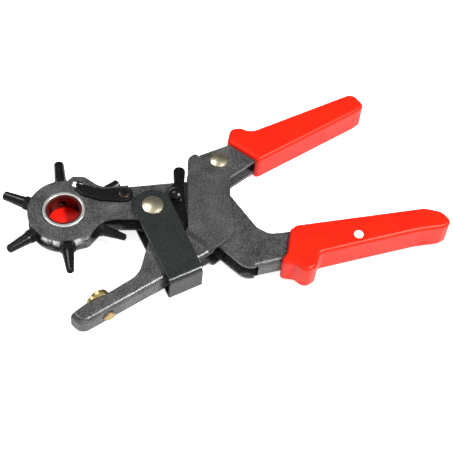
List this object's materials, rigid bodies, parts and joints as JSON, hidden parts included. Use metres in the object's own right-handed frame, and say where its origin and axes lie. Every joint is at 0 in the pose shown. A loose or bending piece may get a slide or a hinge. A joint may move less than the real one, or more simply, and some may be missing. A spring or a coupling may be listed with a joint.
{
  "type": "rotary hole punch",
  "caption": "Hand-held rotary hole punch: plier-like folded steel levers with dipped grips, a turning wheel of tapered punch tubes and a brass anvil.",
  "frame": {"origin": "centre of the bounding box's bottom face, with the tool lying flat", "axes": "+X from the punch wheel to the grip ends, +Y towards the upper handle, +Z through the thickness, towards the face with the detent arm and the lock lever"},
  "size_m": [0.249, 0.1542, 0.0222],
  "materials": {
    "frame_coat": "graphite hammered powder coat",
    "strap_coat": "smooth dark powder coat",
    "rivet": "nickel plate, polished",
    "plain_steel": "plain",
    "spring_steel": "plain",
    "grip_vinyl": "dipped vinyl, soft gloss",
    "wheel_steel": "bright zinc",
    "liner_red": "moulded",
    "anvil_brass": "turned",
    "copper": "copper",
    "black_steel": "black oxide",
    "black_gloss": "gloss black",
    "eyelet_white": "moulded",
    "tube_steel": "black oxide"
  },
  "bodies": {
    "lower_jaw_side": {"lower_jaw_frame": "frame_coat", "pivot_strap": "strap_coat", "hinge_rivet": "rivet", "hinge_bush": "plain_steel", "stop_rivet": "rivet", "spacer_sleeve": "plain_steel", "return_spring": "spring_steel", "upper_grip": "grip_vinyl", "anvil": "anvil_brass", "anvil_washer": "copper"},
    "upper_jaw_side": {"upper_jaw_frame": "frame_coat", "lower_grip": "grip_vinyl", "hang_eyelet": "eyelet_white", "detent_screw": "black_steel", "detent_washer": "copper", "detent_spring": "spring_steel", "lock_pin": "black_gloss"},
    "wheel": {"punch_wheel": "wheel_steel", "slug_liner": "liner_red", "punch_tube_1": "tube_steel", "punch_tube_2": "tube_steel", "punch_tube_3": "tube_steel", "punch_tube_4": "tube_steel", "punch_tube_5": "tube_steel", "punch_tube_6": "tube_steel"},
    "detent": {"detent_arm": "black_steel"},
    "lock": {"lock_lever": "black_gloss"}
  },
  "joints": [
    {"name": "main_pivot", "type": "hinge", "parent": "lower_jaw_side", "child": "upper_jaw_side", "pos_m": [-0.04085, -0.00445, 0.0105], "axis": [0, 0, 1], "range_deg": [0, 20.9], "stiffness_Nm_per_rad": 4, "springref_deg": -20.05, "deforming": ["return_spring"]},
    {"name": "wheel_spin", "type": "hinge", "parent": "upper_jaw_side", "child": "wheel", "pos_m": [-0.08965, -0.00575, 0.0105], "axis": [0, 0, 1], "continuous": true},
    {"name": "detent_lift", "type": "hinge", "parent": "upper_jaw_side", "child": "detent", "pos_m": [-0.05645, 0.00415, 0.0177], "axis": [0, 0, -1], "range_deg": [0, 3.8], "stiffness_Nm_per_rad": 0.3, "springref_deg": -11.46, "deforming": ["detent_spring"]},
    {"name": "lock_swing", "type": "hinge", "parent": "upper_jaw_side", "child": "lock", "pos_m": [-0.02785, 0.00355, 0.0181], "axis": [0, 0, 1], "range_deg": [0, 28]}
  ]
}
